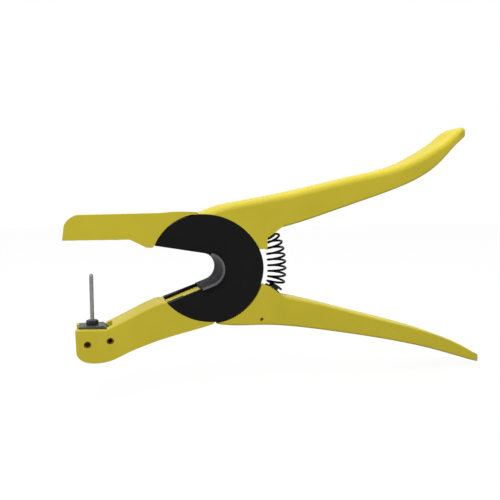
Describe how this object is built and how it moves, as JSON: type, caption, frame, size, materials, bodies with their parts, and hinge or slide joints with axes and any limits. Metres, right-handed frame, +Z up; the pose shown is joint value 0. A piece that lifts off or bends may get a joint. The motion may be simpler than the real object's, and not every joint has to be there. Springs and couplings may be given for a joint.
{
  "type": "ear tag applicator pliers",
  "caption": "Hand pliers with an open round throat, spring-opened curved handles, a slotted tag clip in the upper jaw and a flip-away needle in the lower jaw.",
  "frame": {"origin": "centre of the round throat, on the pivot axis in the middle plane", "axes": "+X towards the handles, +Z up from the needle jaw to the clip jaw, +Y across the width"},
  "size_m": [0.2734, 0.0232, 0.1611],
  "materials": {
    "yellow_plastic": "semi-gloss moulded, dull golden yellow",
    "black_plastic": "gloss black moulded",
    "plain_steel": "bent and ground sheet steel",
    "dark_steel": "blackened roll pin",
    "spring_steel": "oiled spring wire",
    "needle_steel": "ground needle steel",
    "cast_zinc": "grey painted casting"
  },
  "bodies": {
    "needle_side": {"needle_arm": "yellow_plastic", "near_cheek": "black_plastic", "far_cheek": "black_plastic", "throat_liner": "plain_steel", "upper_spring_cup": "black_plastic", "carrier_pin": "dark_steel", "stop_pin": "dark_steel", "return_spring": "spring_steel"},
    "clip_side": {"clip_jaw": "yellow_plastic", "lower_handle": "yellow_plastic", "near_link_plate": "plain_steel", "far_link_plate": "plain_steel", "lower_spring_cup": "black_plastic", "link_cross_pin": "dark_steel", "tag_clip": "plain_steel", "tag_clip_screws": "plain_steel"},
    "flip_needle": {"needle_carrier": "cast_zinc", "needle": "needle_steel", "needle_lock_nut": "plain_steel", "flip_spring": "spring_steel"}
  },
  "joints": [
    {"name": "jaw_squeeze", "type": "hinge", "parent": "needle_side", "child": "clip_side", "pos_m": [0, 0, 0], "axis": [0, -1, 0], "range_deg": [0, 22], "stiffness_Nm_per_rad": 4, "springref_deg": -8.59, "deforming": ["return_spring"]},
    {"name": "needle_flip", "type": "hinge", "parent": "needle_side", "child": "flip_needle", "pos_m": [-0.0667, 0, -0.0385], "axis": [0, -1, 0], "range_deg": [0, 100], "stiffness_Nm_per_rad": 0.03, "springref_deg": -28.65}
  ]
}
